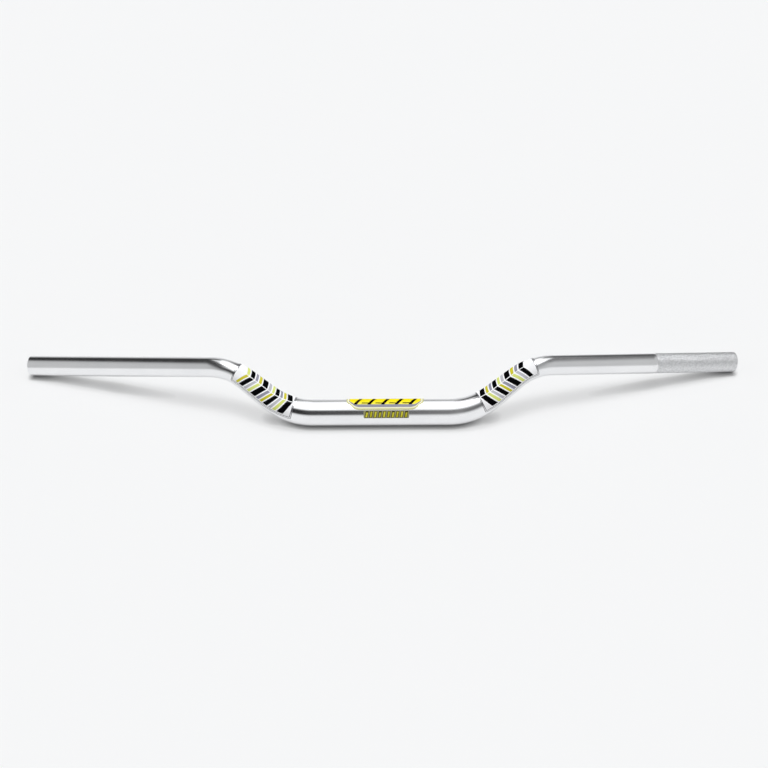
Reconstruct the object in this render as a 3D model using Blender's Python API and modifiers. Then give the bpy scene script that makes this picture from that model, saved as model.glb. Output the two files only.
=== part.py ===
"""Motorcycle handlebar: a tapered, bent and hollow aluminium tube with its vinyl graphics.

The bar is 28.6 mm in diameter where the stem clamps hold it and tapers to
22.2 mm at the grips.  It lies on a bench on its clamp zone and on its two
tips, as a bare bar does: +Z is up, +X runs along the bar towards the knurled
grip and +Y points towards the rider.  The origin is the centre of the clamp
zone, on the tube's axis.  Lengths are in metres.
"""

import math

import bmesh
import bpy
from mathutils import Vector

# ---------------------------------------------------------------- dimensions
# tube
CLAMP_RADIUS = 0.01430      # 28.6 mm clamp diameter
GRIP_RADIUS = 0.01110       # 22.2 mm grip diameter
KNURL_RADIUS = 0.01085      # the knurled grip is turned down a little first
KNURL_LENGTH = 0.0942       # knurled length, measured back from the end face
KNURL_STEP = 0.0010         # length of the cone between smooth tube and knurl
CLAMP_BORE_RADIUS = 0.01030 # 4.0 mm wall at the clamp
GRIP_BORE_RADIUS = 0.00720  # 3.9 mm wall at the grips
END_CHAMFER = 0.0006        # outer edge of each end
BORE_CHAMFER = 0.0005       # inner edge of each end

# shape of the centreline, half of it: the other half is its mirror image.
# The corners are where the straight runs would meet; each is rounded.
LOWER_BEND = Vector((0.0988, 0.0, 0.0))
UPPER_BEND = Vector((0.1618, 0.0355, 0.0345))
TIP_X = 0.3885
TIP_Y = 0.0880
LOWER_BEND_RADIUS = 0.078
UPPER_BEND_RADIUS = 0.066
TAPER_START = 0.085         # distances along the centreline from the middle
TAPER_END = 0.177

# tessellation
TUBE_RESOLUTION = 10        # 4 + 2 n sides: 24
BORE_RESOLUTION = 6         # 16 sides
BEND_STEPS = 8              # straight facets along each bend

# vinyl graphics: a gap to the tube, then the film's own thickness
FILM_GAP = 0.0003
FILM_THICKNESS = 0.0003

WRAP_KNURL_SIDE = (0.1070, 0.1795)      # first and last distance along the bar
WRAP_THROTTLE_SIDE = (0.0925, 0.1685)
WRAP_BACK_ANGLE = -118.0    # degrees round the tube from its top, + to the front
WRAP_FRONT_ANGLE = 118.0
EMBLEM_CENTRE, EMBLEM_LENGTH = 0.0042, 0.083
EMBLEM_BACK_ANGLE, EMBLEM_FRONT_ANGLE = -78.0, 40.0
STRIPE_CENTRE, STRIPE_LENGTH = 0.0059, 0.049
STRIPE_BACK_ANGLE, STRIPE_FRONT_ANGLE = 43.0, 77.0


# ---------------------------------------------------------------- scene setup
def clear_scene():
    for obj in list(bpy.data.objects):
        bpy.data.objects.remove(obj, do_unlink=True)
    for coll in list(bpy.data.collections):
        bpy.data.collections.remove(coll)


def collection(name):
    coll = bpy.data.collections.new(name)
    bpy.context.scene.collection.children.link(coll)
    return coll


def material(name, color, roughness, metallic):
    mat = bpy.data.materials.new(name)
    mat.use_nodes = True
    bsdf = mat.node_tree.nodes["Principled BSDF"]
    bsdf.inputs["Base Color"].default_value = (*color, 1.0)
    bsdf.inputs["Roughness"].default_value = roughness
    bsdf.inputs["Metallic"].default_value = metallic
    mat.diffuse_color = (*color, 1.0)
    return mat


# ---------------------------------------------------------------- centreline
def tip_height():
    """Height of the axis at the end face, so that the end's lower edge stands
    on the same plane as the clamp zone's underside."""
    z = GRIP_RADIUS - CLAMP_RADIUS
    for _ in range(20):
        run = Vector((TIP_X, TIP_Y, z)) - UPPER_BEND
        slope = run.z / run.length
        # lowest point of the circle at the foot of the end chamfer
        lowest = z - slope * END_CHAMFER - GRIP_RADIUS * math.sqrt(1 - slope ** 2)
        z += -CLAMP_RADIUS - lowest
    return z


def build_segments():
    """Straight runs and arcs of the +X half, from the middle to the tip."""
    corners = [Vector((0, 0, 0)), LOWER_BEND, UPPER_BEND,
               Vector((TIP_X, TIP_Y, tip_height()))]
    radii = [None, LOWER_BEND_RADIUS, UPPER_BEND_RADIUS, None]
    segments = []
    here = corners[0]
    for i in (1, 2):
        into = (corners[i] - corners[i - 1]).normalized()
        out = (corners[i + 1] - corners[i]).normalized()
        turn = into.angle(out)
        setback = radii[i] * math.tan(turn / 2)
        start = corners[i] - into * setback
        inward = (out - into * into.dot(out)).normalized()
        segments.append(("line", here, into, (start - here).length))
        segments.append(("arc", start, into, inward, radii[i], turn))
        here = corners[i] + out * setback
    run = corners[3] - here
    segments.append(("line", here, run.normalized(), run.length))
    return segments


SEGMENTS = build_segments()


def segment_length(seg):
    return seg[3] if seg[0] == "line" else seg[4] * seg[5]


HALF_LENGTH = sum(segment_length(seg) for seg in SEGMENTS)


def station(s):
    """Point and unit tangent (pointing away from the middle) at distance s."""
    rest = abs(s)
    for seg in SEGMENTS:
        length = segment_length(seg)
        if rest <= length or seg is SEGMENTS[-1]:
            break
        rest -= length
    if seg[0] == "line":
        _, start, direction, _ = seg
        point, tangent = start + direction * rest, direction.copy()
    else:
        _, start, into, inward, radius, _ = seg
        a = rest / radius
        point = start + into * (radius * math.sin(a)) + inward * (radius * (1 - math.cos(a)))
        tangent = into * math.cos(a) + inward * math.sin(a)
    if s < 0:
        point.x, tangent.x = -point.x, -tangent.x
    return point, tangent


def lerp(a, b, t):
    return a + (b - a) * min(max(t, 0.0), 1.0)


def tube_radius(s):
    return lerp(CLAMP_RADIUS, GRIP_RADIUS,
                (abs(s) - TAPER_START) / (TAPER_END - TAPER_START))


def bore_radius(s):
    return lerp(CLAMP_BORE_RADIUS, GRIP_BORE_RADIUS,
                (abs(s) - TAPER_START) / (TAPER_END - TAPER_START))


def tube_point(s, angle, lift=0.0):
    """Point on the tube at distance s, angle degrees from the top towards the
    front, lift outside the surface; and the outward direction there."""
    centre, tangent = station(s)
    up = (Vector((0, 0, 1)) - tangent * tangent.z).normalized()
    front = tangent.cross(up) if s >= 0 else up.cross(tangent)
    a = math.radians(angle)
    outward = up * math.cos(a) + front * math.sin(a)
    return centre + outward * (tube_radius(s) + lift), outward


def bend_stations():
    """Distances where the facets along one half meet."""
    stops, at = [], 0.0
    for seg in SEGMENTS:
        length = segment_length(seg)
        if seg[0] == "arc":
            stops += [at + length * k / BEND_STEPS for k in range(BEND_STEPS + 1)]
        at += length
    return sorted(stops + [TAPER_START, TAPER_END])


# ---------------------------------------------------------------- tube
def swept_mesh(name, rings, resolution):
    """A round bar swept along the centreline; rings are (distance, radius)."""
    data = bpy.data.curves.new(name + "_path", "CURVE")
    data.dimensions = "3D"
    data.twist_mode = "Z_UP"
    data.bevel_depth = 1.0
    data.bevel_resolution = resolution
    data.use_fill_caps = True
    spline = data.splines.new("POLY")
    spline.points.add(len(rings) - 1)
    for point, (s, radius) in zip(spline.points, rings):
        point.co = (*station(s)[0], 1.0)
        point.radius = radius
    path = bpy.data.objects.new(name + "_path", data)
    bpy.context.scene.collection.objects.link(path)

    depsgraph = bpy.context.evaluated_depsgraph_get()
    mesh = bpy.data.meshes.new_from_object(path.evaluated_get(depsgraph))
    mesh.name = name
    bm = bmesh.new()
    bm.from_mesh(mesh)
    bmesh.ops.remove_doubles(bm, verts=bm.verts, dist=0.00001)
    bmesh.ops.recalc_face_normals(bm, faces=bm.faces)
    bm.to_mesh(mesh)
    bm.free()
    obj = bpy.data.objects.new(name, mesh)
    obj.matrix_world = path.matrix_world.copy()
    bpy.data.objects.remove(path, do_unlink=True)
    bpy.data.curves.remove(data)
    return obj


def outer_rings():
    end = HALF_LENGTH
    smooth_end = [(end - END_CHAMFER, GRIP_RADIUS), (end, GRIP_RADIUS - END_CHAMFER)]
    knurled_end = [(end - KNURL_LENGTH - KNURL_STEP, GRIP_RADIUS),
                   (end - KNURL_LENGTH, KNURL_RADIUS),
                   (end - END_CHAMFER, KNURL_RADIUS),
                   (end, KNURL_RADIUS - END_CHAMFER)]
    middle = [(s, tube_radius(s)) for s in bend_stations()]
    throttle_half = [(-s, r) for s, r in reversed(middle + smooth_end)]
    return throttle_half + middle + knurled_end


def bore_rings():
    end = HALF_LENGTH
    half = [(s, bore_radius(s)) for s in bend_stations()]
    half += [(end - BORE_CHAMFER, GRIP_BORE_RADIUS),
             (end + BORE_CHAMFER, GRIP_BORE_RADIUS + 2 * BORE_CHAMFER)]
    return [(-s, r) for s, r in reversed(half)] + half


def make_tube(parts, cutters):
    tube = swept_mesh("bar_tube", outer_rings(), TUBE_RESOLUTION)
    parts.objects.link(tube)
    bore = swept_mesh("bar_bore", bore_rings(), BORE_RESOLUTION)
    cutters.objects.link(bore)
    bore.hide_render = True
    bore.display_type = "WIRE"
    cut = tube.modifiers.new("bore", "BOOLEAN")
    cut.operation = "DIFFERENCE"
    cut.solver = "EXACT"
    cut.object = bore
    tube.data.shade_smooth()
    tube.data.set_sharp_from_angle(angle=math.radians(30))
    tube.data.materials.append(material("bar_aluminium", (0.80, 0.81, 0.82), 0.28, 1.0))
    return tube


# ---------------------------------------------------------------- graphics
def film(parts, name, first, last, columns, rows, angles, mat):
    """A sheet of vinyl wrapped on the tube from distance first to last.
    angles(t) gives its back and front edge at the fraction t of its length."""
    mesh = bpy.data.meshes.new(name)
    bm = bmesh.new()
    bmesh.ops.create_grid(bm, x_segments=columns, y_segments=rows, size=0.5)
    for vert in bm.verts:
        t, v = vert.co.x + 0.5, vert.co.y + 0.5
        back, front = angles(t)
        vert.co, _ = tube_point(first + (last - first) * t,
                                back + (front - back) * v, FILM_GAP)
    bm.normal_update()
    face = next(iter(bm.faces))
    middle = face.calc_center_median()
    nearest = min((station(first + (last - first) * k / 40)[0] for k in range(41)),
                  key=lambda p: (p - middle).length)
    if face.normal.dot(middle - nearest) < 0:
        bmesh.ops.reverse_faces(bm, faces=bm.faces)
    bm.to_mesh(mesh)
    bm.free()
    mesh.shade_smooth()
    mesh.materials.append(mat)
    obj = bpy.data.objects.new(name, mesh)
    parts.objects.link(obj)
    solid = obj.modifiers.new("thickness", "SOLIDIFY")
    solid.thickness = FILM_THICKNESS
    solid.offset = 1.0
    solid.use_even_offset = True
    return obj


def emblem_edges(t):
    """A long lozenge: the front edge runs in at a slant at both ends."""
    slant = min(1.0, min(t, 1 - t) / 0.18)
    return EMBLEM_BACK_ANGLE, EMBLEM_FRONT_ANGLE - 26.0 * (1 - slant)


def make_graphics(parts):
    wrap = material("wrap_vinyl", (0.55, 0.55, 0.50), 0.30, 0.0)
    for name, (first, last) in (("wrap_decal_knurl_side", WRAP_KNURL_SIDE),
                                ("wrap_decal_throttle_side", WRAP_THROTTLE_SIDE)):
        side = -1.0 if name.endswith("throttle_side") else 1.0
        film(parts, name, side * first, side * last, 16, 16,
             lambda t: (WRAP_BACK_ANGLE, WRAP_FRONT_ANGLE),
             wrap if side > 0 else wrap.copy())
    film(parts, "centre_emblem_decal",
         EMBLEM_CENTRE - EMBLEM_LENGTH / 2, EMBLEM_CENTRE + EMBLEM_LENGTH / 2,
         12, 9, emblem_edges, material("emblem_vinyl", (0.85, 0.72, 0.05), 0.30, 0.0))
    film(parts, "centre_stripe_decal",
         STRIPE_CENTRE - STRIPE_LENGTH / 2, STRIPE_CENTRE + STRIPE_LENGTH / 2,
         6, 3, lambda t: (STRIPE_BACK_ANGLE, STRIPE_FRONT_ANGLE),
         material("stripe_vinyl", (0.60, 0.55, 0.08), 0.35, 0.0))


def main():
    clear_scene()
    parts = collection("handlebar")
    cutters = collection("handlebar_cutters")
    make_tube(parts, cutters)
    make_graphics(parts)


main()
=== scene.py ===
"""Looks of the motorcycle handlebar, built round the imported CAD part.

The CAD tube and decals are replaced by finer pieces on the same centreline:
the polished tube with its cut diamond knurling, faced and chamfered ends and
open bore, and four printed vinyl decals with their layers of print.
"""
import math

import bpy
import numpy as np
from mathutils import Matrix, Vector
from mathutils.geometry import delaunay_2d_cdt


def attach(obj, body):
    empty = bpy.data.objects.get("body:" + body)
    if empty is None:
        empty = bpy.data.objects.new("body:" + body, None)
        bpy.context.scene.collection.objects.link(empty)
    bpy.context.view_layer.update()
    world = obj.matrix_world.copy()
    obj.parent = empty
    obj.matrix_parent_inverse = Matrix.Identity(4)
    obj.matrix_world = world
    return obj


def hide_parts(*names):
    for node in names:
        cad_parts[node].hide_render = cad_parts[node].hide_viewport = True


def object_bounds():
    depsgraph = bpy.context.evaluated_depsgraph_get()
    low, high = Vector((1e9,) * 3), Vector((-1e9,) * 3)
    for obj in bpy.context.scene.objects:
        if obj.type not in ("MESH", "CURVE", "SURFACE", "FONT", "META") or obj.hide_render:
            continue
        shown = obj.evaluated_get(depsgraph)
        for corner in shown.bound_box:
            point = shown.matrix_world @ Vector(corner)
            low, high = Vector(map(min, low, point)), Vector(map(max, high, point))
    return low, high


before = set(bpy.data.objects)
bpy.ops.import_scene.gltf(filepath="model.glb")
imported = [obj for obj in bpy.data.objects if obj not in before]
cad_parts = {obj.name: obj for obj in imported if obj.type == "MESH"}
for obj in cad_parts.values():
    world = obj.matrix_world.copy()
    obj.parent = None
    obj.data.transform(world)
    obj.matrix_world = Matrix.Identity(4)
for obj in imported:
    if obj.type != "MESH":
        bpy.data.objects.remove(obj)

cad_low, cad_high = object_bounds()
scene = bpy.context.scene
rng = np.random.default_rng(7)

# ------------------------------------------------------------------ the bar
CLAMP_R, GRIP_R, KNURL_R = 0.01430, 0.01110, 0.01085
CLAMP_BORE_R, GRIP_BORE_R = 0.01030, 0.00720
KNURL_LEN = 0.0942
LOWER = np.array([0.0988, 0.0, 0.0])
UPPER = np.array([0.1618, 0.0355, 0.0345])
TIP = np.array([0.3885, 0.0880, -0.003441])
LOWER_RAD, UPPER_RAD = 0.078, 0.066
TAPER0, TAPER1 = 0.085, 0.177


def unit(v):
    return v / np.linalg.norm(v)


def build_segments():
    corners = [np.zeros(3), LOWER, UPPER, TIP]
    radii = [None, LOWER_RAD, UPPER_RAD, None]
    out, here = [], corners[0]
    for i in (1, 2):
        a = unit(corners[i] - corners[i - 1])
        b = unit(corners[i + 1] - corners[i])
        turn = math.acos(float(a @ b))
        back = radii[i] * math.tan(turn / 2)
        start = corners[i] - a * back
        out.append(("line", here, a, float(np.linalg.norm(start - here))))
        out.append(("arc", start, a, unit(b - a * (a @ b)), radii[i], turn))
        here = corners[i] + b * back
    run = TIP - here
    out.append(("line", here, unit(run), float(np.linalg.norm(run))))
    return out


SEGS = build_segments()
SEG_LEN = [g[3] if g[0] == "line" else g[4] * g[5] for g in SEGS]
HALF = sum(SEG_LEN)


def centre(s):
    """Points, tangents, up and front directions of the centreline at the distances s."""
    s = np.atleast_1d(np.asarray(s, float))
    q = np.abs(s)
    P, T = np.zeros((len(s), 3)), np.zeros((len(s), 3))
    at = 0.0
    for k, g in enumerate(SEGS):
        last = k == len(SEGS) - 1
        m = (q >= at) & ((q < at + SEG_LEN[k]) | last)
        r = (q[m] - at)[:, None]
        if g[0] == "line":
            P[m], T[m] = g[1] + g[2] * r, g[2]
        else:
            _, start, a, n, rad, _ = g
            w = r / rad
            P[m] = start + a * (rad * np.sin(w)) + n * (rad * (1 - np.cos(w)))
            T[m] = a * np.cos(w) + n * np.sin(w)
        at += SEG_LEN[k]
    N = np.array([0, 0, 1.0]) - T * T[:, 2:3]
    N /= np.linalg.norm(N, axis=1)[:, None]
    B = np.cross(T, N)
    flip = np.where(s < 0, -1.0, 1.0)
    for v in (P, T, N, B):
        v[:, 0] *= flip
    T *= flip[:, None]
    return P, T, N, B


def soft_taper(s, a, b, blend=0.010):
    """a before the taper, b after it, with rounded transitions at both ends."""
    q = np.abs(np.asarray(s, float))

    def ramp(x):
        y = np.clip(x + blend / 2, 0, None)
        return np.where(x > blend / 2, x, np.where(x < -blend / 2, 0.0, y * y / (2 * blend)))

    t = (ramp(q - TAPER0) - ramp(q - TAPER1)) / (TAPER1 - TAPER0)
    return a + (b - a) * t


def tube_r(s):
    return soft_taper(s, CLAMP_R, GRIP_R)


def bore_r(s):
    return soft_taper(s, CLAMP_BORE_R, GRIP_BORE_R)


def on_tube(s, theta, r):
    """World points at distance s, theta radians from the top to the front, radius r."""
    P, _, N, B = centre(s)
    c, n = np.cos(theta)[:, None], np.sin(theta)[:, None]
    return P + np.asarray(r).reshape(-1, 1) * (c * N + n * B)


# --------------------------------------------------------------- node helpers
class Nodes:
    """Short hand for building a node tree."""

    def __init__(self, owner):
        owner.use_nodes = True
        self.tree = owner.node_tree
        self.tree.nodes.clear()

    def add(self, kind, **values):
        n = self.tree.nodes.new(kind)
        for key, value in values.items():
            setattr(n, key, value)
        return n

    def link(self, a, b):
        self.tree.links.new(a, b)

    def put(self, socket, value):
        if isinstance(value, bpy.types.NodeSocket):
            self.link(value, socket)
        else:
            socket.default_value = value

    def math(self, op, a, b=None, c=None, clamp=False):
        n = self.add("ShaderNodeMath", operation=op, use_clamp=clamp)
        for i, v in enumerate((a, b, c)):
            if v is not None:
                self.put(n.inputs[i], v)
        return n.outputs[0]

    def vmath(self, op, a, b=None, out=0):
        n = self.add("ShaderNodeVectorMath", operation=op)
        self.put(n.inputs[0], a)
        if b is not None:
            self.put(n.inputs[1], b)
        return n.outputs[out]

    def noise(self, vector, scale, detail=2.0, rough=0.5, out="Fac"):
        n = self.add("ShaderNodeTexNoise")
        self.link(vector, n.inputs["Vector"])
        n.inputs["Scale"].default_value = scale
        n.inputs["Detail"].default_value = detail
        n.inputs["Roughness"].default_value = rough
        return n.outputs[out]

    def smooth(self, value, a, b, lo=0.0, hi=1.0):
        n = self.add("ShaderNodeMapRange", interpolation_type="SMOOTHSTEP")
        self.put(n.inputs["Value"], value)
        n.inputs["From Min"].default_value = a
        n.inputs["From Max"].default_value = b
        n.inputs["To Min"].default_value = lo
        n.inputs["To Max"].default_value = hi
        return n.outputs["Result"]

    def linear(self, value, a, b, lo=0.0, hi=1.0):
        n = self.add("ShaderNodeMapRange", interpolation_type="LINEAR")
        self.put(n.inputs["Value"], value)
        n.inputs["From Min"].default_value = a
        n.inputs["From Max"].default_value = b
        n.inputs["To Min"].default_value = lo
        n.inputs["To Max"].default_value = hi
        return n.outputs["Result"]

    def mix(self, fac, a, b):
        n = self.add("ShaderNodeMix", data_type="RGBA")
        self.put(n.inputs[0], fac)
        for socket, value in ((n.inputs[6], a), (n.inputs[7], b)):
            if isinstance(value, tuple) and len(value) == 3:
                value = (*value, 1.0)
            self.put(socket, value)
        return n.outputs[2]

    def multiply(self, a, b):
        n = self.add("ShaderNodeMix", data_type="RGBA", blend_type="MULTIPLY")
        n.inputs[0].default_value = 1.0
        self.put(n.inputs[6], a)
        self.put(n.inputs[7], b)
        return n.outputs[2]

    def attribute(self, name, out="Vector"):
        return self.add("ShaderNodeAttribute", attribute_name=name).outputs[out]

    def bump(self, height, strength, distance, normal=None):
        n = self.add("ShaderNodeBump")
        n.inputs["Strength"].default_value = strength
        n.inputs["Distance"].default_value = distance
        self.link(height, n.inputs["Height"])
        if normal is not None:
            self.link(normal, n.inputs["Normal"])
        return n.outputs[0]

    def principled(self):
        n = self.add("ShaderNodeBsdfPrincipled")
        out = self.add("ShaderNodeOutputMaterial")
        self.link(n.outputs[0], out.inputs[0])
        return n


def new_material(name):
    mat = bpy.data.materials.new(name)
    return mat, Nodes(mat)


# ------------------------------------------------------------------ materials
def stretched(k, along, across):
    """The unrolled place on the bar, stretched for marks that run along it."""
    return k.vmath("MULTIPLY", k.attribute("flat"), (along, across, across))


def polished_aluminium():
    mat, k = new_material("bar_polished")
    b = k.principled()
    streak = k.noise(stretched(k, 45, 3200), 1.0, 3.0, 0.6)
    fine = k.noise(stretched(k, 260, 9000), 1.0, 2.0, 0.5)
    cloud = k.noise(stretched(k, 30, 60), 1.0, 3.0, 0.55)
    grain = k.noise(stretched(k, 5200, 5200), 1.0, 1.0, 0.5)
    colour = k.mix(k.smooth(cloud, 0.3, 0.7), (0.855, 0.860, 0.872), (0.895, 0.899, 0.908))
    colour = k.mix(k.smooth(streak, 0.55, 0.9, 0.0, 0.35), colour, (0.80, 0.805, 0.82))
    k.link(colour, b.inputs["Base Color"])
    b.inputs["Metallic"].default_value = 1.0
    rough = k.math("ADD", k.linear(streak, 0.2, 0.8, 0.125, 0.155), k.linear(cloud, 0.2, 0.8, -0.012, 0.018))
    rough = k.math("ADD", rough, k.linear(fine, 0.2, 0.8, -0.012, 0.02))
    k.link(rough, b.inputs["Roughness"])
    n = k.bump(streak, 0.18, 0.000010)
    n = k.bump(fine, 0.12, 0.000004, n)
    n = k.bump(grain, 0.10, 0.000003, n)
    k.link(n, b.inputs["Normal"])
    return mat


def knurled_aluminium():
    mat, k = new_material("bar_knurled")
    b = k.principled()
    blotch = k.noise(stretched(k, 420, 480), 1.0, 3.0, 0.6)
    fine = k.noise(stretched(k, 6000, 6000), 1.0, 2.0, 0.5)
    colour = k.mix(k.smooth(blotch, 0.30, 0.70), (0.61, 0.615, 0.625), (0.76, 0.765, 0.775))
    k.link(colour, b.inputs["Base Color"])
    b.inputs["Metallic"].default_value = 1.0
    k.link(k.math("ADD", k.linear(blotch, 0.3, 0.7, 0.365, 0.43), k.linear(fine, 0.2, 0.8, -0.04, 0.06)),
           b.inputs["Roughness"])
    k.link(k.bump(fine, 0.30, 0.000012), b.inputs["Normal"])
    return mat


def turned_aluminium():
    """Saw-cut and faced ends and the drawn bore."""
    mat, k = new_material("bar_faced_end")
    b = k.principled()
    sep = k.add("ShaderNodeSeparateXYZ")
    k.link(k.attribute("flat"), sep.inputs[0])
    radius = k.math("SQRT", k.math("ADD", k.math("MULTIPLY", sep.outputs[1], sep.outputs[1]),
                                   k.math("MULTIPLY", sep.outputs[2], sep.outputs[2])))
    rings = k.math("SINE", k.math("MULTIPLY", radius, 34000.0))
    wander = k.noise(stretched(k, 900, 900), 1.0, 3.0, 0.6)
    colour = k.mix(wander, (0.74, 0.745, 0.76), (0.86, 0.865, 0.875))
    k.link(colour, b.inputs["Base Color"])
    b.inputs["Metallic"].default_value = 1.0
    k.link(k.linear(wander, 0.2, 0.8, 0.26, 0.42), b.inputs["Roughness"])
    n = k.bump(k.math("ADD", rings, k.math("MULTIPLY", wander, 2.0)), 0.25, 0.000012)
    k.link(n, b.inputs["Normal"])
    return mat


def printed_vinyl(name, rough=0.30):
    """Ink under a thin laminate: the print's own colours, faint mottling and orange peel."""
    mat, k = new_material(name)
    b = k.principled()
    ink = k.attribute("print", "Color")
    mottle = k.noise(stretched(k, 700, 700), 1.0, 3.0, 0.6)
    peel = k.noise(stretched(k, 1500, 1500), 1.0, 2.0, 0.5)
    speck = k.noise(stretched(k, 9000, 9000), 1.0, 1.0, 0.5)
    shade = k.linear(mottle, 0.25, 0.75, 0.955, 1.0)
    shade = k.math("MULTIPLY", shade, k.linear(speck, 0.3, 0.7, 0.985, 1.0))
    grey = k.add("ShaderNodeCombineColor")
    for i in range(3):
        k.link(shade, grey.inputs[i])
    k.link(k.multiply(ink, grey.outputs[0]), b.inputs["Base Color"])
    k.link(k.linear(mottle, 0.2, 0.8, rough - 0.05, rough + 0.06), b.inputs["Roughness"])
    b.inputs["Specular IOR Level"].default_value = 0.0
    n = k.bump(peel, 0.10, 0.00003)
    k.link(n, b.inputs["Normal"])
    return mat


def clear_film():
    """Clear laminate over bare metal, seen as slightly duller metal with a gloss on it."""
    mat, k = new_material("clear_laminate")
    b = k.principled()
    peel = k.noise(stretched(k, 1300, 1300), 1.0, 2.0, 0.5)
    haze = k.noise(stretched(k, 220, 220), 1.0, 3.0, 0.55)
    k.link(k.mix(haze, (0.83, 0.835, 0.845), (0.88, 0.883, 0.89)), b.inputs["Base Color"])
    b.inputs["Metallic"].default_value = 1.0
    k.link(k.linear(haze, 0.2, 0.8, 0.17, 0.22), b.inputs["Roughness"])
    b.inputs["Coat Weight"].default_value = 0.12
    b.inputs["Coat Roughness"].default_value = 0.12
    k.link(k.bump(peel, 0.10, 0.00003), b.inputs["Normal"])
    return mat


# ---------------------------------------------------------------------- meshes
class Builder:
    """Collects vertices with their unrolled place, and faces with a material."""

    def __init__(self):
        self.co, self.flat, self.faces, self.mats, self.count = [], [], [], [], 0

    def verts(self, s, theta, r):
        s, theta, r = np.broadcast_arrays(np.asarray(s, float), np.asarray(theta, float), np.asarray(r, float))
        s, theta, r = s.ravel(), theta.ravel(), r.ravel()
        self.co.append(on_tube(s, theta, r))
        self.flat.append(np.stack([s, r * np.cos(theta), r * np.sin(theta)], 1))
        ids = np.arange(self.count, self.count + len(s))
        self.count += len(s)
        return ids

    def quads(self, a, b, mat):
        """Faces between two closed rings of the same size; b lies at the larger s, or further in."""
        a2, b2 = np.roll(a, -1), np.roll(b, -1)
        for f in zip(a, b, b2, a2):
            self.faces.append(f)
            self.mats.append(mat)

    def face(self, ids, mat):
        self.faces.append(tuple(ids))
        self.mats.append(mat)

    def mesh(self, name, flip=False):
        me = bpy.data.meshes.new(name)
        co = np.concatenate(self.co)
        faces = [tuple(int(i) for i in (f[::-1] if flip else f)) for f in self.faces]
        me.from_pydata(co.tolist(), [], faces)
        me.polygons.foreach_set("material_index", np.array(self.mats, np.int32))
        att = me.attributes.new("flat", "FLOAT_VECTOR", "POINT")
        att.data.foreach_set("vector", np.concatenate(self.flat).astype(np.float32).ravel())
        me.update()
        return me


def outward(me):
    """Checks that a closed mesh faces out, and turns it round if it doesn't."""
    me.calc_loop_triangles()
    t = np.empty(len(me.loop_triangles) * 3, np.int32)
    me.loop_triangles.foreach_get("vertices", t)
    v = np.empty(len(me.vertices) * 3, np.float32)
    me.vertices.foreach_get("co", v)
    v = v.reshape(-1, 3).astype(float)[t].reshape(-1, 3, 3)
    if float(np.einsum("ij,ij->i", v[:, 0], np.cross(v[:, 1], v[:, 2])).sum()) < 0:
        me.flip_normals()
    return me


SIDES = 120
RING = np.radians(np.arange(SIDES) * 360 / SIDES)


def smooth_stations(first, last):
    """Distances of the rings from first to last: close on the bends, wide on the runs."""
    marks, at = [], 0.0
    for g, length in zip(SEGS, SEG_LEN):
        marks.append((at, at + length, 0.0012 if g[0] == "arc" else (0.0022 if 0.12 < at < 0.15 else 0.005)))
        at += length
    pos = [0.0]
    for a, b, step in marks:
        n = max(1, int(math.ceil((b - a) / step)))
        pos += [a + (b - a) * i / n for i in range(1, n + 1)]
    extra = np.linspace(TAPER0 - 0.006, TAPER0 + 0.006, 9)
    both = sorted(set(round(v, 6) for v in [-p for p in pos] + pos + list(extra) + [-e for e in extra]))
    both = [v for v in both if first + 0.0008 < v < last - 0.0008]
    return [first] + both + [last]


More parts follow.
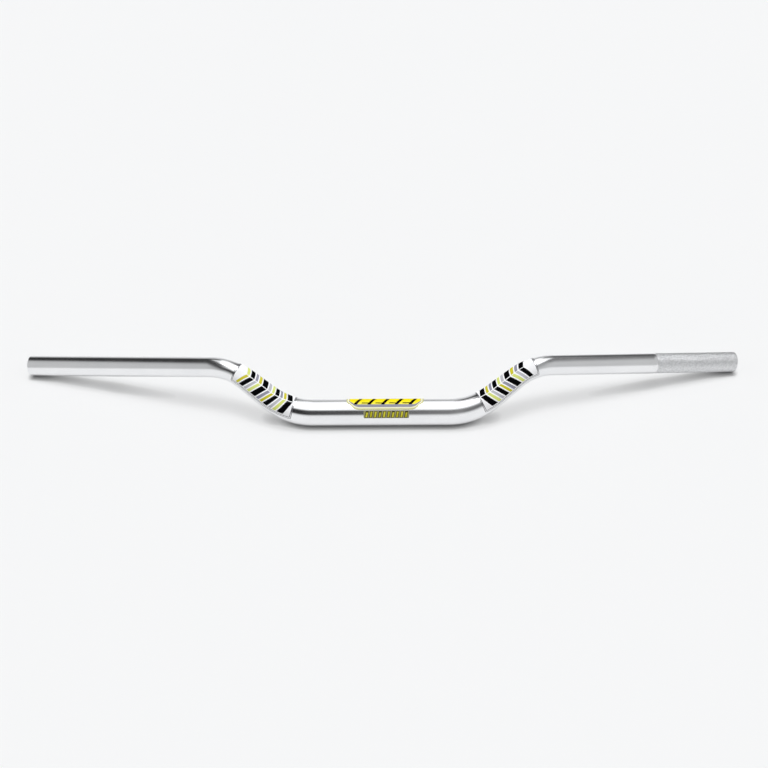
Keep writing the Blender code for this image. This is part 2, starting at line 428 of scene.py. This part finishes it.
def build_bar():
    m = Builder()
    tube, knurl, faced = 0, 1, 2
    left, right = -HALF, HALF
    rb = GRIP_BORE_R

    def ring(s, r):
        return m.verts(s, RING, r)

    # throttle-side end: bore edge, face, outer round
    bore_left = ring(left + 0.0006, rb)
    prev = bore_left
    for s, r, mat in ((left + 0.00025, rb + 0.00012, faced), (left + 0.00004, rb + 0.00040, faced),
                      (left, rb + 0.00060, faced), (left, (rb + GRIP_R) / 2, faced),
                      (left, GRIP_R - 0.00075, faced)):
        nxt = ring(s, r)
        m.quads(prev, nxt, mat)
        prev = nxt
    for a in (22, 45, 68, 90):
        w = math.radians(a)
        nxt = ring(left + 0.00075 * (1 - math.cos(w)), GRIP_R - 0.00075 * (1 - math.sin(w)))
        m.quads(prev, nxt, tube)
        prev = nxt

    # smooth tube up to the knurling
    k0, k1 = right - KNURL_LEN, right - 0.0011
    for s in smooth_stations(left + 0.0012, k0 - 0.0011):
        nxt = ring(s, tube_r(s))
        m.quads(prev, nxt, tube)
        prev = nxt
    valley, crest = KNURL_R - 0.00005, KNURL_R + 0.00006
    for s, r in ((k0 - 0.00095, GRIP_R - 0.00004), (k0 - 0.00070, GRIP_R - 0.00022),
                 (k0 - 0.00045, valley + 0.00002), (k0 - 0.00022, valley)):
        nxt = ring(s, r)
        m.quads(prev, nxt, tube)
        prev = nxt

    # diamond knurling: valleys cross at the lattice points, each diamond has a small flat top
    around = SIDES // 2
    rows = 2 * int(round((k1 - k0) / 0.00150))
    step = (k1 - k0) / rows
    pitch = 2 * math.pi / around
    lattice = []
    for j in range(rows + 1):
        th = (np.arange(around) + 0.5 * (j % 2)) * pitch
        wob = rng.normal(0, 0.000008, around)
        lattice.append(m.verts(k0 + j * step, th, valley + wob))

    def corner(j, i, side):
        """The lattice point above or below diamond i of row j."""
        return lattice[j + side][(i + (j % 2)) % around]

    def border(j, s):
        """A ring of lattice points with a crest between each two, at an end of the knurling."""
        th = (np.arange(around) + 0.5) * pitch
        mids = m.verts(s, th, crest - 0.00004)
        full = np.empty(SIDES, int)
        full[0::2], full[1::2] = lattice[j], mids
        return full, mids

    full0, mids0 = border(0, k0)
    m.quads(prev, full0, knurl)
    for i in range(around):
        a, b, top = lattice[0][i], lattice[0][(i + 1) % around], lattice[1][i]
        m.face((a, top, mids0[i]), knurl)
        m.face((mids0[i], top, b), knurl)
    for j in range(1, rows):
        thc = (np.arange(around) + 0.5 + 0.5 * (j % 2)) * pitch
        n = around
        high = crest + rng.normal(0, 0.000012, n)
        flat = 0.18 + 0.06 * rng.random(n)
        s = k0 + j * step
        lo = m.verts(s, thc - flat * pitch / 2, high)
        hi = m.verts(s, thc + flat * pitch / 2, high)
        dn = m.verts(s - flat * step, thc, high)
        up = m.verts(s + flat * step, thc, high)
        for i in range(n):
            L, R = lattice[j][i], lattice[j][(i + 1) % n]
            U, D = corner(j, i, 1), corner(j, i, -1)
            m.face((D, dn[i], hi[i], R), knurl)
            m.face((R, hi[i], up[i], U), knurl)
            m.face((U, up[i], lo[i], L), knurl)
            m.face((L, lo[i], dn[i], D), knurl)
            m.face((lo[i], up[i], hi[i], dn[i]), knurl)
    full1, mids1 = border(rows, k1)
    for i in range(around):
        a, b, low = lattice[rows][i], lattice[rows][(i + 1) % around], lattice[rows - 1][i]
        m.face((a, mids1[i], low), knurl)
        m.face((mids1[i], b, low), knurl)
    prev = full1

    # knurled end: round, face, bore edge
    for s, r, mat in ((right - 0.00085, KNURL_R - 0.00010, knurl), (right - 0.00052, KNURL_R - 0.00018, faced),
                      (right - 0.00022, KNURL_R - 0.00038, faced), (right - 0.00005, KNURL_R - 0.00066, faced),
                      (right, KNURL_R - 0.00090, faced), (right, (rb + KNURL_R) / 2, faced),
                      (right, rb + 0.00060, faced), (right - 0.00004, rb + 0.00040, faced),
                      (right - 0.00025, rb + 0.00012, faced), (right - 0.0006, rb, faced)):
        nxt = ring(s, r)
        m.quads(prev, nxt, mat)
        prev = nxt

    # bore, back to the throttle side
    for s in reversed(smooth_stations(left + 0.0006, right - 0.0006)[1:-1][::3]):
        nxt = ring(s, bore_r(s))
        m.quads(prev, nxt, faced)
        prev = nxt
    m.quads(prev, bore_left, faced)

    me = outward(m.mesh("bar_tube_finished"))
    me.shade_smooth()
    me.set_sharp_from_angle(angle=math.radians(26))
    for mat in (polished_aluminium(), knurled_aluminium(), turned_aluminium()):
        me.materials.append(mat)
    ob = bpy.data.objects.new("bar_tube_finished", me)
    scene.collection.objects.link(ob)
    return ob


# ---------------------------------------------------------------------- decals
ARC = 12.8  # mm of arc for one radian, the unrolled sheet's scale across the bar

WHITE = (0.93, 0.93, 0.94)
BLACK = (0.0025, 0.0025, 0.003)
YELLOW = (0.60, 0.55, 0.035)
BRIGHT = (0.93, 0.78, 0.012)
LIME = (0.70, 0.76, 0.22)
PALE = (0.90, 0.89, 0.66)
GREY = (0.30, 0.30, 0.37)
SILVER = (0.52, 0.52, 0.56)
LILAC = (0.66, 0.65, 0.72)
LINE = (0.07, 0.07, 0.08)
EDGE = (0.10, 0.10, 0.11)
WEAVE = (0.035, 0.033, 0.042)
MAUVE = (0.40, 0.37, 0.50)
CLEAR = "clear"


def fade(c0, c1, p0, p1):
    """A colour that turns from c0 at p0 to c1 at p1."""
    return ("fade", c0, c1, p0, p1)


def colour_at(ink, x, y):
    if ink[0] == "fade":
        _, c0, c1, p0, p1 = ink
        dx, dy = p1[0] - p0[0], p1[1] - p0[1]
        t = min(max(((x - p0[0]) * dx + (y - p0[1]) * dy) / (dx * dx + dy * dy), 0.0), 1.0)
        return tuple(a + (b - a) * t for a, b in zip(c0, c1))
    return ink


def area2(poly):
    return sum(a[0] * b[1] - b[0] * a[1] for a, b in zip(poly, poly[1:] + poly[:1]))


def decal(name, layers, to_s, sheet, lift, thick, mats, cell=(2.5, 1.35)):
    """A printed sheet. layers are (outline, ink) from the bottom up, outlines in
    (mm along, degrees round); the first one is the sheet's own outline. to_s turns
    mm along into the distance on the bar. sheet is the box that the grid covers."""
    deg = math.degrees(1 / ARC)
    verts, edges, faces = [], [], []

    def flat(p):
        return Vector((p[0], math.radians(p[1]) * ARC))

    for outline, _ in layers:
        pts = [flat(p) for p in outline]
        if area2([(p.x, p.y) for p in pts]) < 0:
            pts.reverse()
        faces.append(list(range(len(verts), len(verts) + len(pts))))
        verts += pts
    (x0, x1), (a0, a1) = sheet
    y0, y1 = math.radians(a0) * ARC, math.radians(a1) * ARC
    nx, ny = int(math.ceil((x1 - x0) / cell[0])), int(math.ceil((y1 - y0) / cell[1]))
    for i in range(nx + 1):
        x = x0 + (x1 - x0) * i / nx
        verts += [Vector((x, y0)), Vector((x, y1))]
        edges.append((len(verts) - 2, len(verts) - 1))
    for j in range(ny + 1):
        y = y0 + (y1 - y0) * j / ny
        verts += [Vector((x0, y)), Vector((x1, y))]
        edges.append((len(verts) - 2, len(verts) - 1))
    V, _, F, _, _, origin = delaunay_2d_cdt(verts, edges, faces, 0, 1e-4)

    tris, ids = [], []
    for f, o in zip(F, origin):
        if 0 not in o or len(f) != 3:
            continue
        a, b, c = (V[i] for i in f)
        if abs((b.x - a.x) * (c.y - a.y) - (c.x - a.x) * (b.y - a.y)) < 1e-7:
            continue
        tris.append(tuple(f))
        ids.append(max(o))
    used = sorted(set(i for t in tris for i in t))
    remap = {v: i for i, v in enumerate(used)}
    xy = np.array([(V[i].x, V[i].y) for i in used])
    s = np.array([to_s(x) for x in xy[:, 0]])
    theta = xy[:, 1] / ARC
    m = Builder()
    m.verts(s, theta, tube_r(s) + lift + thick)
    m.verts(s, theta, tube_r(s) + lift)
    n = len(used)
    once = {}
    mirrored = to_s(1.0) < to_s(0.0)
    inks = []
    for t, k in zip(tris, ids):
        a, b, c = (remap[i] for i in t)
        if mirrored:
            b, c = c, b
        ink = layers[k][1]
        mat = 1 if ink == CLEAR else 0
        m.face((a, b, c), mat)
        inks.append([ink] * 3)
        m.face((a + n, c + n, b + n), mat)
        inks.append([WHITE] * 3)
        for e in ((a, b), (b, c), (c, a)):
            if (e[1], e[0]) in once:
                del once[(e[1], e[0])]
            else:
                once[e] = (ink, mat)
    for (a, b), (ink, mat) in once.items():
        m.face((b, a, a + n, b + n), mat)
        inks.append([WHITE if ink == CLEAR else ink] * 4)
    me = m.mesh(name)
    colour = me.color_attributes.new("print", "FLOAT_COLOR", "CORNER")
    data = np.empty((len(me.loops), 4), np.float32)
    xs = np.concatenate([xy, xy])
    for poly, face_inks in zip(me.polygons, inks):
        for li, ink in zip(poly.loop_indices, face_inks):
            v = me.loops[li].vertex_index
            rgb = WHITE if ink == CLEAR else colour_at(ink, xs[v][0], math.degrees(xs[v][1] / ARC))
            data[li] = (*rgb, 1.0)
    colour.data.foreach_set("color", data.ravel())
    outward(me)
    me.shade_smooth()
    me.set_sharp_from_angle(angle=math.radians(40))
    for mat in mats:
        me.materials.append(mat)
    ob = bpy.data.objects.new(name, me)
    scene.collection.objects.link(ob)
    return ob


def rounded(poly, radius, steps=4):
    """A polygon with its corners rounded, in the units of mm on both axes."""
    pts = [np.array((p[0], math.radians(p[1]) * ARC)) for p in poly]
    out = []
    for i, p in enumerate(pts):
        a, b = pts[i - 1] - p, pts[(i + 1) % len(pts)] - p
        la, lb = np.linalg.norm(a), np.linalg.norm(b)
        cut = min(radius, la * 0.45, lb * 0.45)
        p0, p1 = p + a / la * cut, p + b / lb * cut
        for k in range(steps + 1):
            t = k / steps
            q = (1 - t) ** 2 * p0 + 2 * t * (1 - t) * p + t * t * p1
            out.append((float(q[0]), math.degrees(q[1] / ARC)))
    return out


def disc(x, angle, radius, n=20, stretch=1.0):
    return [(x + radius * math.cos(2 * math.pi * i / n),
             angle + math.degrees(radius * stretch / ARC) * math.sin(2 * math.pi * i / n)) for i in range(n)]


def inset_edge(poly, mm):
    """The outline drawn in by mm, for the line along the sheet's edge."""
    pts = [np.array((p[0], math.radians(p[1]) * ARC)) for p in poly]
    if area2([tuple(p) for p in pts]) < 0:
        pts.reverse()
    out = []
    for i, p in enumerate(pts):
        a, b = unit(p - pts[i - 1]), unit(pts[(i + 1) % len(pts)] - p)
        na, nb = np.array((-a[1], a[0])), np.array((-b[1], b[0]))
        n = na + nb
        n = n / max(float(n @ n), 0.2) * 2
        q = p + n * mm
        out.append((float(q[0]), math.degrees(q[1] / ARC)))
    return out


def back_copy(layers, about):
    """The same shapes on the bar's far side, mirrored round the given angle."""
    out = []
    for poly, ink in layers:
        poly = [(x, 2 * about - a) for x, a in poly]
        if ink[0] == "fade":
            ink = ("fade", ink[1], ink[2], (ink[3][0], 2 * about - ink[3][1]), (ink[4][0], 2 * about - ink[4][1]))
        out.append((poly, ink))
    return out


def bands(x0, x1, low):
    """Plain slanting bands in two rows, evenly repeated: a generic pattern, not a maker's graphic."""
    inks = (BLACK, YELLOW, GREY, BLACK, LIME, SILVER)
    widths = (6.4, 3.4, 3.0, 5.0, 3.0, 3.4)
    lean, upper, lower = 6.0, [], []
    x, i = x0, 0
    while x + widths[i % 6] + lean <= x1:
        w = widths[i % 6]
        upper.append(([(x + lean, -60), (x + lean + w, -60), (x + w, 13), (x, 13)], inks[i % 6]))
        lower.append(([(x, 17), (x + w, 17), (x + lean + w, low), (x + lean, low)], inks[(i + 3) % 6]))
        x, i = x + w + 1.5, i + 1
    return upper, lower


def plain_wrap(x0, x1):
    """Layout in mm along the bar from its middle and degrees from the top to the front."""
    film = rounded([(x0, -109), (x1, -109), (x1, 96), (x0, 96)], 1.6)
    art = rounded([(x0 + 1.2, -101), (x1 - 1.2, -101), (x1 - 1.2, 89), (x0 + 1.2, 89)], 1.0)
    upper, lower = bands(x0 + 2.8, x1 - 2.8, 81)
    behind = bands(x0 + 2.8, x1 - 2.8, 68)[1]
    layers = [(film, CLEAR), (inset_edge(film, 0.0001), EDGE), (inset_edge(film, 0.56), CLEAR),
              (art, LINE), (inset_edge(art, 0.60), WHITE)]
    return layers + back_copy(behind, -14.0) + upper + lower


def emblem():
    """A plain racing stripe badge: a bright field cut by dark slanting bars, with a
    grey lower band and pale edging."""
    half, mid = 41.0, 4.6
    outline = rounded([(mid - half, -77), (mid + half, -77), (mid + half, 4), (mid + half - 7, 32), (mid + half - 12, 39.4),
                       (mid - half + 12, 39.4), (mid - half + 7, 32), (mid - half, 4)], 3.0)
    layers = [(outline, (0.40, 0.39, 0.10)),
              (inset_edge(outline, 0.35), (0.74, 0.72, 0.42)),
              (inset_edge(outline, 1.05), (0.42, 0.42, 0.16)),
              (inset_edge(outline, 1.30), (0.88, 0.86, 0.62)),
              (inset_edge(outline, 2.60), GREY)]
    field = rounded([(mid - half + 3, -72), (mid + half - 3, -72), (mid + half - 3, -6), (mid + half - 9, 14),
                     (mid - half + 9, 14), (mid - half + 3, -6)], 1.8)
    layers.append((field, fade((0.96, 0.86, 0.10), BRIGHT, (0, 14), (0, -6))))
    n = 5
    for i in range(n):
        x = mid + (i - (n - 1) / 2) * 14.6
        layers.append(([(x - 4.4, 14.5), (x - 0.7, 14.5), (x + 5.4, -26), (x + 1.7, -26)], BLACK))
        layers.append(([(x + 1.7, -30), (x + 5.4, -30), (x - 0.7, -70), (x - 4.4, -70)], BLACK))
    for i in range(n - 1):
        x = mid + (i - (n - 2) / 2) * 14.6
        layers.append(([(x - 3.4, 9.0), (x + 4.6, 9.0), (x + 5.4, 4.0), (x - 2.6, 4.0)], BLACK))
    return layers


def dashes():
    """A strip of plain slanting dashes."""
    x0, x1 = -18.2, 30.0
    outline = rounded([(x0, 43.5), (x1, 43.5), (x1, 76.0), (x0, 76.0)], 1.2)
    layers = [(outline, (0.30, 0.29, 0.15))]
    n = 10
    w = (x1 - x0 - 1.6) / n
    for i in range(n):
        a = x0 + 1.1 + i * w
        cell = [(a + 1.2, 45.5), (a + w - 0.3, 45.5), (a + w - 1.5, 74), (a, 74)]
        layers.append((cell, (0.030, 0.028, 0.010)))
        top = 47.5 if i % 3 else 51.0
        dash = [(a + 1.75, top), (a + w - 0.95, top), (a + w - 2.0, 72), (a + 0.7, 72)]
        layers.append((dash, (0.50, 0.46, 0.03) if i % 2 else (0.62, 0.57, 0.05)))
    return layers


# ---------------------------------------------------------------- build it all
bar = build_bar()
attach(bar, "root")
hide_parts("bar_tube")

vinyl, laminate = printed_vinyl("wrap_print"), clear_film()
wraps = (
    ("wrap_decal_throttle_side", plain_wrap(93.4, 168.3), lambda x: -x / 1000, ((92.0, 169.5), (-112, 116)), "wrap_vinyl"),
    ("wrap_decal_knurl_side", plain_wrap(107.8, 179.0), lambda x: x / 1000, ((106.5, 180.0), (-112, 116)), "wrap_vinyl"),
)
for node, layers, to_s, sheet, slot in wraps:
    ob = decal(node + "_printed", layers, to_s, sheet, 0.00002, 0.00012, (vinyl, laminate))
    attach(ob, "root")
    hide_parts(node)

badge = decal("centre_emblem_decal_printed", emblem(), lambda x: x / 1000, ((-38, 46), (-80, 42)),
              0.00002, 0.00012, (printed_vinyl("emblem_print", 0.28), laminate), (3.0, 1.2))
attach(badge, "root")
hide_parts("centre_emblem_decal")
strip = decal("centre_stripe_decal_printed", dashes(), lambda x: x / 1000, ((-19, 31), (43, 77)),
              0.00002, 0.00010, (printed_vinyl("stripe_print", 0.32), laminate), (3.0, 1.2))
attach(strip, "root")
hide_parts("centre_stripe_decal")

def over(under, mask, value):
    """Lays a value over another through a mask."""
    return k.math("ADD", k.math("MULTIPLY", under, k.math("SUBTRACT", 1.0, mask)), k.math("MULTIPLY", mask, value))


def both(a, b):
    return k.math("MULTIPLY", a, b)


def steps(value, stops):
    """A smooth curve through the stops, for values from -1 to 1."""
    n = k.add("ShaderNodeValToRGB")
    ramp = n.color_ramp
    ramp.interpolation = "LINEAR"
    while len(ramp.elements) < len(stops):
        ramp.elements.new(0.5)
    for e, (at, v) in zip(ramp.elements, stops):
        e.position = (at + 1) / 2
        e.color = (v, v, v, 1)
    k.put(n.inputs[0], k.linear(value, -1, 1))
    return n.outputs[0]


# ------------------------------------------------------------- floor and light
FLOOR_Z = float(cad_low[2])
FLOOR_GLOW = 0.524  # the floor's own glow, which keeps it evenly bright; below and near the bar the glow is dimmed into a painted shadow
bpy.ops.mesh.primitive_grid_add(x_subdivisions=8, y_subdivisions=8, size=14.0, location=(0, 0, FLOOR_Z))
floor = bpy.context.object
floor.name = "floor"
mat, k = new_material("floor_paper_painted_shadow")
b = k.principled()
coord = k.add("ShaderNodeTexCoord").outputs["Object"]
soft = k.noise(coord, 1.3, 2.0, 0.5)
k.link(k.mix(soft, (0.357, 0.359, 0.362), (0.363, 0.364, 0.365)), b.inputs["Base Color"])
b.inputs["Roughness"].default_value = 0.9
b.inputs["Specular IOR Level"].default_value = 0.0
b.inputs["Emission Color"].default_value = (0.995, 0.998, 1.0, 1.0)
# painted shadow: a short-range occlusion dims the floor's glow under and beside the bar, with its reach set along the
# bar
painted_shadow_ao = k.add("ShaderNodeAmbientOcclusion", samples=8)
spot = k.add("ShaderNodeSeparateXYZ")
k.link(coord, spot.inputs[0])
# how far the painted shadow reaches, a little more than the bar's height above the paper
painted_shadow_reach = steps(k.math("ABSOLUTE", spot.outputs[0]),
            [(0.09, 0.11), (0.10, 0.13), (0.11, 0.17), (0.12, 0.25), (0.13, 0.30), (0.15, 0.34), (0.20, 0.34),
             (0.226, 0.53), (0.26, 0.46), (0.293, 0.382), (0.315, 0.286), (0.34, 0.206), (0.362, 0.138), (0.3885, 0.11)])
# on the grips the painted shadow is moved a little ahead of the bar, as the box hangs a little behind it
ahead = k.math("ADD", k.math("SUBTRACT", spot.outputs[1], 0.0880),
               k.math("MULTIPLY", k.math("SUBTRACT", 0.3885, k.math("ABSOLUTE", spot.outputs[0])), 0.2316))
ahead = k.math("DIVIDE", k.math("ADD", ahead, 0.007), 0.010)
lean = k.math("MAXIMUM", k.math("SUBTRACT", 0.07, k.math("MULTIPLY", both(ahead, ahead), 0.13)), -0.25)
painted_shadow_reach = both(painted_shadow_reach, k.math("ADD", 1.0, both(lean, k.smooth(k.math("ABSOLUTE", spot.outputs[0]), 0.20, 0.24))))
k.link(k.math("MULTIPLY", painted_shadow_reach, 0.05), painted_shadow_ao.inputs["Distance"])
# the painted shadow: the floor's glow falls off with the occlusion
k.link(k.math("MULTIPLY", k.math("POWER", painted_shadow_ao.outputs["AO"], 1.8), FLOOR_GLOW), b.inputs["Emission Strength"])
floor.data.materials.append(mat)

HOT = 26.0
world = bpy.data.worlds.new("studio")
scene.world = world
k = Nodes(world)
direction = k.add("ShaderNodeTexCoord").outputs["Generated"]
sep = k.add("ShaderNodeSeparateXYZ")
k.link(direction, sep.inputs[0])
X, Y, Z = sep.outputs
AX = k.math("ABSOLUTE", X)
# angle round the bar's long axis: 0 overhead, +90 the horizon in front, -90 behind
PHI = k.math("MULTIPLY", k.math("ARCTAN2", k.math("MULTIPLY", Y, -1.0), Z), 180 / math.pi)


level = k.math("ADD", 0.58, 0.0)  # grey room
# black surround of the softbox, paler on the right, open at the back
surround = steps(X, [(-0.60, 0.030), (-0.05, 0.020), (-0.02, 0.08), (0.01, 0.25), (0.05, 0.28), (0.15, 0.22),
                     (0.21, 0.12), (0.26, 0.08), (0.32, 0.10), (0.37, 0.14), (0.43, 0.21), (0.50, 0.33), (0.58, 0.55)])
surround = k.math("ADD", surround, both(k.smooth(PHI, 0, 25, 0.0, 0.16), k.smooth(X, 0.20, 0.36)))
side = k.smooth(AX, 0.49, 0.60, 1.0, 0.0)
front_edge = k.smooth(k.math("ADD", PHI, k.smooth(X, -0.06, 0.05, 0.0, 9.0)), 66, 86, 1.0, 0.0)
level = over(level, both(side, front_edge), surround)
# paper sweep behind, and the lit table edge low in front
back_mask = k.smooth(k.math("ADD", PHI, k.smooth(X, -0.10, 0.0, 0.0, 10.0)), -76, -52, 1.0, 0.0)
level = over(level, back_mask, k.math("MINIMUM", k.smooth(X, 0.13, 0.22, 0.72, 0.24), k.smooth(X, -0.38, -0.18, 0.14, 0.80)))
level = over(level, k.smooth(PHI, 66, 88), 0.93)
# overhead softbox with its brighter middle, a little behind the bar
# it narrows towards the back, as a box seen in perspective does
slant = k.math("MINIMUM", k.math("MAXIMUM", PHI, 8.0), 40.0)
left = k.math("DIVIDE", k.math("MULTIPLY", X, -0.31), k.math("ADD", k.math("MULTIPLY", slant, 0.0045), 0.245))
reach = k.math("MAXIMUM", X, left)
rear = k.math("SUBTRACT", PHI, k.smooth(AX, 0.04, 0.13, 0.0, 19.0))
box = both(k.smooth(reach, 0.27, 0.35, 1.0, 0.0), both(k.smooth(rear, -74, -46), k.smooth(PHI, 22, 40, 1.0, 0.0)))
off = k.math("DIVIDE", k.math("ADD", PHI, 7.0), 7.5)
wide = k.math("DIVIDE", X, 0.09)
hot = k.math("MULTIPLY", k.math("EXPONENT", k.math("MULTIPLY", k.math("ADD", both(off, off), both(wide, wide)), -0.5)), HOT)
# its far left corner hangs lower and dimmer
notch = both(k.smooth(X, -0.23, -0.16, 0.62, 0.0), both(k.smooth(PHI, -38, -26), k.smooth(PHI, -4, 8, 1.0, 0.0)))
level = over(level, box, both(k.math("ADD", hot, 1.2), k.math("SUBTRACT", 1.0, notch)))
studio = k.add("ShaderNodeBackground")
k.link(level, studio.inputs["Strength"])
studio.inputs["Color"].default_value = (0.985, 0.992, 1.0, 1.0)
plain = k.add("ShaderNodeBackground")
plain.inputs["Color"].default_value = (0.93, 0.935, 0.945, 1.0)
pick = k.add("ShaderNodeMixShader")
k.link(k.add("ShaderNodeLightPath").outputs["Is Camera Ray"], pick.inputs[0])
k.link(studio.outputs[0], pick.inputs[1])
k.link(plain.outputs[0], pick.inputs[2])
out = k.add("ShaderNodeOutputWorld")
k.link(pick.outputs[0], out.inputs[0])

# ---------------------------------------------------------------------- camera
FOCAL_PX = 1948.0
CAM_PLACE = (0.0345, -1.6027, 1.3314)
CAM_TURN = (51.115, 0.782, 0.467)
data = bpy.data.cameras.new("camera")
data.sensor_width = 36.0
data.lens = FOCAL_PX * 36.0 / 768.0
data.clip_start, data.clip_end = 0.05, 50.0
cam = bpy.data.objects.new("camera", data)
scene.collection.objects.link(cam)
cam.location = CAM_PLACE
cam.rotation_mode = "XYZ"
cam.rotation_euler = [math.radians(v) for v in CAM_TURN]
scene.camera = cam
scene.view_settings.view_transform = "Standard"
scene.view_settings.look = "None"
scene.view_settings.exposure = 0.0
scene.view_settings.gamma = 1.0

bpy.context.view_layer.update()
